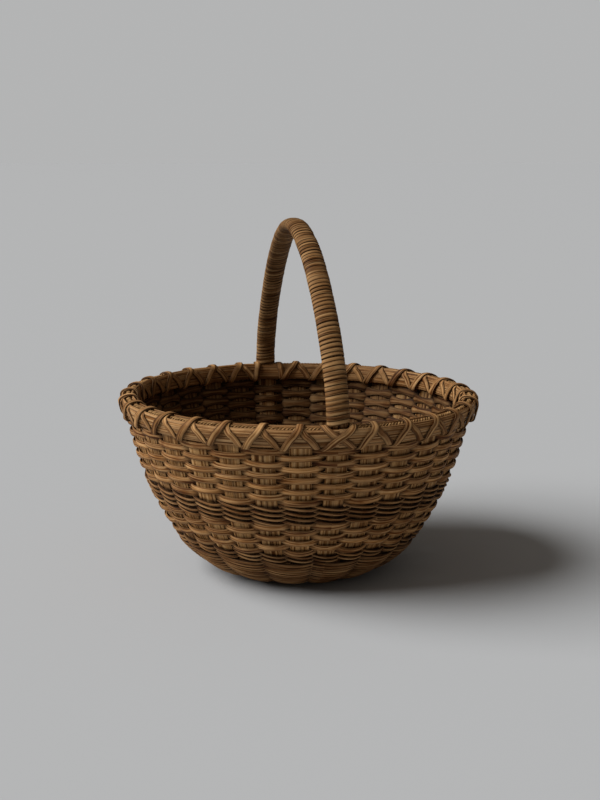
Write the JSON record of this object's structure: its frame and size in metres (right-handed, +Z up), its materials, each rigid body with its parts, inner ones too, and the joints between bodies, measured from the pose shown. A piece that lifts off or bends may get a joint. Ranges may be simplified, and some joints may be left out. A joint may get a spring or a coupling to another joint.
{
  "type": "woven reed basket",
  "caption": "Round bowl-shaped reed basket with flat stakes, woven and twined rows, a cross-lashed rim and a fixed cane-wrapped hoop handle.",
  "frame": {"origin": "centre of the base, on the surface that the basket stands on", "axes": "+Z up; the handle's hoop lies in the X-Z plane, with its two legs at +X and -X"},
  "size_m": [0.3072, 0.3078, 0.298],
  "materials": {
    "stake_reed": "matt, aged brown reed with fine lengthwise grain",
    "weaver_reed": "satin, aged honey-brown flat-oval reed",
    "round_reed": "satin, dark brown round reed",
    "rim_reed": "satin, aged brown half-round reed",
    "filler_grass": "dry twisted grass cord",
    "lashing_cane": "satin, split reed",
    "handle_wood": "bare bent wood under the wrapping",
    "wrap_cane": "satin, split cane with lengthwise streaks"
  },
  "bodies": {
    "root": {"spoke_1": "stake_reed", "spoke_2": "stake_reed", "spoke_3": "stake_reed", "spoke_4": "stake_reed", "spoke_5": "stake_reed", "spoke_6": "stake_reed", "spoke_7": "stake_reed", "spoke_8": "stake_reed", "upper_weaver_1": "weaver_reed", "upper_weaver_2": "weaver_reed", "upper_weaver_3": "weaver_reed", "upper_weaver_4": "weaver_reed", "upper_weaver_5": "weaver_reed", "upper_weaver_6": "weaver_reed", "upper_weaver_7": "weaver_reed", "upper_weaver_8": "weaver_reed", "upper_weaver_9": "weaver_reed", "upper_weaver_10": "weaver_reed", "twine_1a": "round_reed", "twine_1b": "round_reed", "twine_2a": "round_reed", "twine_2b": "round_reed", "twine_3a": "round_reed", "twine_3b": "round_reed", "twine_4a": "round_reed", "twine_4b": "round_reed", "lower_weaver_1": "weaver_reed", "lower_weaver_2": "weaver_reed", "lower_weaver_3": "weaver_reed", "lower_weaver_4": "weaver_reed", "lower_weaver_5": "weaver_reed", "lower_weaver_6": "weaver_reed", "foot_twining_outer": "round_reed", "foot_twining_inner": "round_reed", "side_twining_outer": "round_reed", "side_twining_inner": "round_reed", "rim_outer": "rim_reed", "rim_inner": "rim_reed", "rim_filler_1": "filler_grass", "rim_filler_2": "filler_grass", "lashing_first": "lashing_cane", "lashing_second": "lashing_cane", "handle_hoop": "handle_wood", "handle_wrap": "wrap_cane"}
  },
  "joints": []
}
